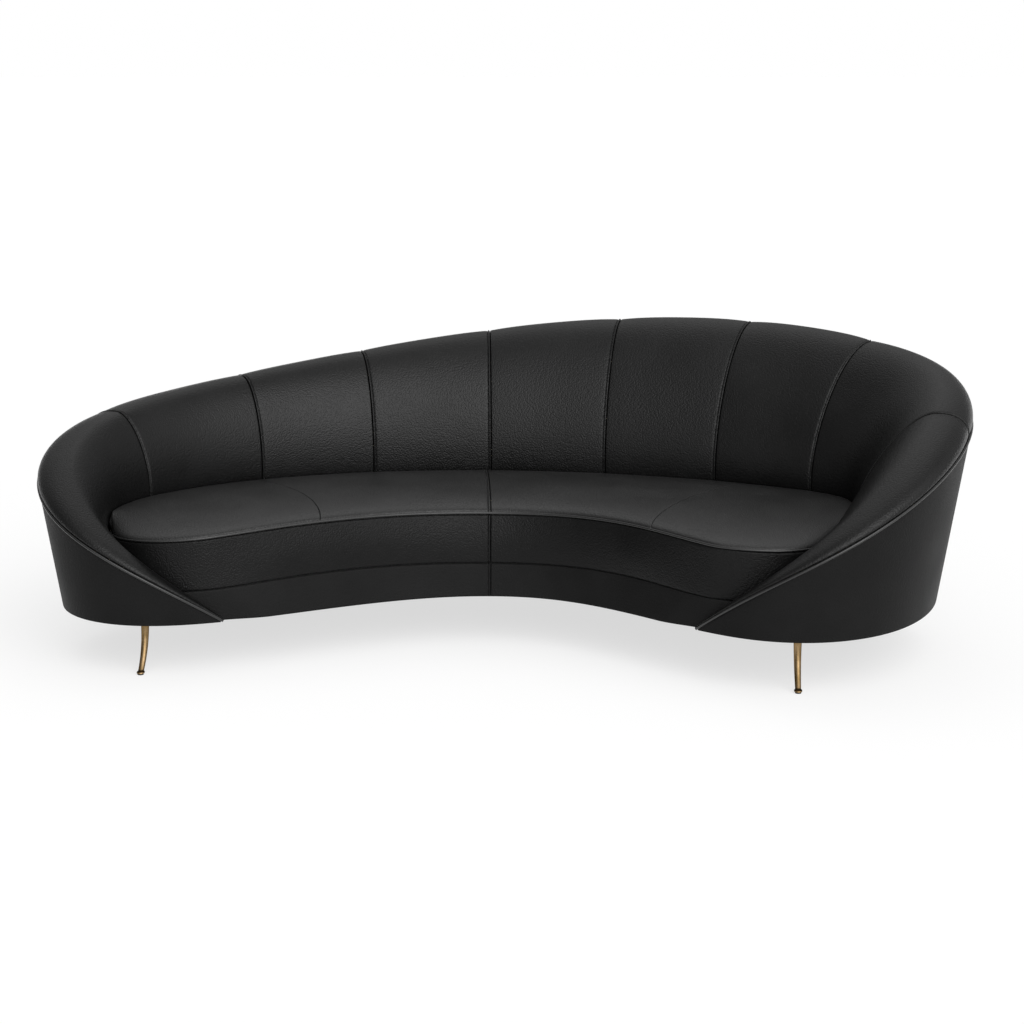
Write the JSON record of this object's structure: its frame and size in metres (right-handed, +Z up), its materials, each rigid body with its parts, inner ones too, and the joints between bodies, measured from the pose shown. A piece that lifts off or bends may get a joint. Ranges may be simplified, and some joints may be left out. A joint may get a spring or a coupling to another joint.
{
  "type": "curved sofa",
  "caption": "Asymmetric curved sofa with a wraparound channelled leather back that tapers down into both arms, a tight crowned seat and slim sabre legs.",
  "frame": {"origin": "on the floor, under the centre of the sofa's bounding box", "axes": "+X along the sofa's length, to the right as seen from the front, +Y towards the rear, +Z up"},
  "size_m": [2.8074, 1.5178, 0.9184],
  "materials": {
    "leather": "fine-grain semi-aniline leather, soft satin",
    "piping_leather": "fine-grain leather drawn tight over cord, satin",
    "brass": "satin turned brass",
    "foam": "open-cell upholstery foam, matt",
    "plywood": "unfinished birch plywood",
    "timber": "planed unfinished beech",
    "bending_board": "unfinished bending plywood",
    "webbing": "woven elastic webbing",
    "dust_cloth": "black non-woven cloth",
    "nylon": "moulded nylon, matt"
  },
  "bodies": {
    "root": {"back_panel_1": "leather", "back_panel_2": "leather", "back_panel_3": "leather", "back_panel_4": "leather", "back_panel_5": "leather", "back_panel_6": "leather", "back_panel_7": "leather", "back_panel_8": "leather", "back_panel_9": "leather", "back_foam_left": "foam", "back_foam_middle": "foam", "back_foam_right": "foam", "outer_cover_left": "leather", "outer_board_left": "bending_board", "outer_cover_rear": "leather", "outer_board_rear": "bending_board", "outer_cover_right": "leather", "outer_board_right": "bending_board", "back_piping": "piping_leather", "back_rib_1": "plywood", "back_rib_2": "plywood", "back_rib_3": "plywood", "back_rib_4": "plywood", "back_rib_5": "plywood", "back_rib_6": "plywood", "back_rib_7": "plywood", "back_rib_8": "plywood", "top_rail": "timber", "front_rail_cover_left": "leather", "seat_boxing_left": "leather", "front_rail_cover_right": "leather", "seat_boxing_right": "leather", "seat_welt": "piping_leather", "front_rail": "timber", "rear_rail": "timber", "cross_member_1": "timber", "cross_member_2": "timber", "cross_member_3": "timber", "seat_strap_1": "webbing", "seat_strap_2": "webbing", "seat_strap_3": "webbing", "seat_strap_4": "webbing", "seat_strap_5": "webbing", "seat_cover_1": "leather", "seat_cover_2": "leather", "seat_cover_3": "leather", "seat_cover_4": "leather", "seat_foam": "foam", "base_board": "plywood", "dust_cover": "dust_cloth", "leg_front_left": "brass", "leg_front_right": "brass", "leg_rear_left": "brass", "leg_rear_middle": "brass", "leg_rear_right": "brass", "foot_glide_front_left": "nylon", "foot_glide_front_right": "nylon", "foot_glide_rear_left": "nylon", "foot_glide_rear_middle": "nylon", "foot_glide_rear_right": "nylon"}
  },
  "joints": []
}
